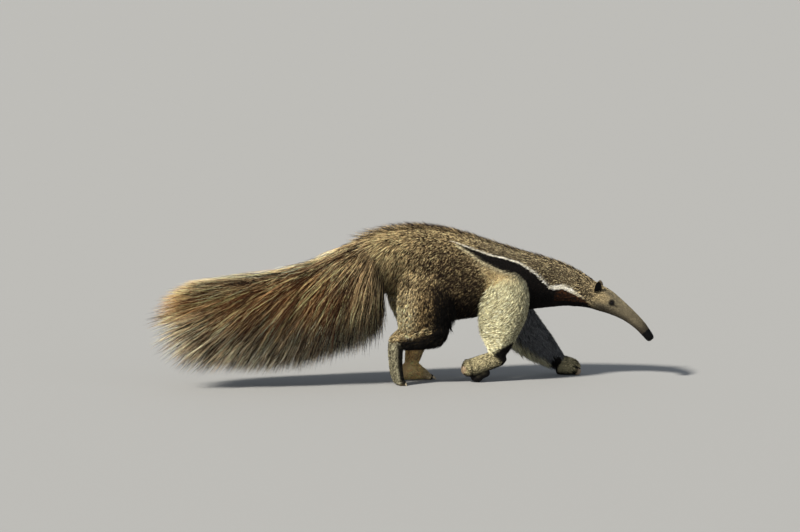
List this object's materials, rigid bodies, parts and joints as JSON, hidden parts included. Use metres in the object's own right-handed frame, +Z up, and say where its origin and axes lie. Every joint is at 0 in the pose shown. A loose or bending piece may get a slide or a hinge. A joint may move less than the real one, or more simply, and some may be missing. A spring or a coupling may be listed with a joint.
{
  "type": "giant anteater",
  "caption": "Life-size walking giant anteater with a long tapering snout held low, folded foreclaws and a deep plume of a tail.",
  "frame": {"origin": "on the floor under the middle of the whole animal, tail hair included", "axes": "+X towards the head, +Y towards the animal's left side, +Z up"},
  "size_m": [2.0126, 0.3448, 0.648],
  "materials": {
    "brown_coat": "coarse bristly hair, dark brown with straw tips",
    "tail_hair": "long stiff strands, dark brown to rust with straw tips",
    "grizzled_coat": "short grizzled hair with a black, white-edged band below",
    "pale_coat": "cream hair grizzled with dark ticks, black band at the wrist",
    "foot_coat": "short close hair over bare soles",
    "face_coat": "very short grey-brown hair lying flat",
    "ear_coat": "thin short hair, dark inside with a pale rim",
    "nose_skin": "bare black skin, slightly moist",
    "eye": "wet and dark",
    "claw": "worn horn, paler at the tip"
  },
  "bodies": {
    "root": {"torso": "brown_coat", "neck": "grizzled_coat", "head": "face_coat", "nose": "nose_skin", "tail": "tail_hair", "earRight": "ear_coat", "eyeRight": "eye", "earLeft": "ear_coat", "eyeLeft": "eye", "forelegRight": "pale_coat", "forepawRight": "pale_coat", "forelegLeft": "pale_coat", "forepawLeft": "pale_coat", "hindlegRight": "brown_coat", "hindfootRight": "foot_coat", "hindlegLeft": "brown_coat", "hindfootLeft": "foot_coat", "hindclawRight1": "claw", "hindclawRight2": "claw", "hindclawRight3": "claw", "hindclawRight4": "claw", "hindclawRight5": "claw", "hindclawLeft1": "claw", "hindclawLeft2": "claw", "hindclawLeft3": "claw", "hindclawLeft4": "claw", "hindclawLeft5": "claw", "foreclawRight1": "claw", "foreclawRight2": "claw", "foreclawRight3": "claw", "foreclawRight4": "claw", "foreclawLeft1": "claw", "foreclawLeft2": "claw", "foreclawLeft3": "claw", "foreclawLeft4": "claw"}
  },
  "joints": []
}
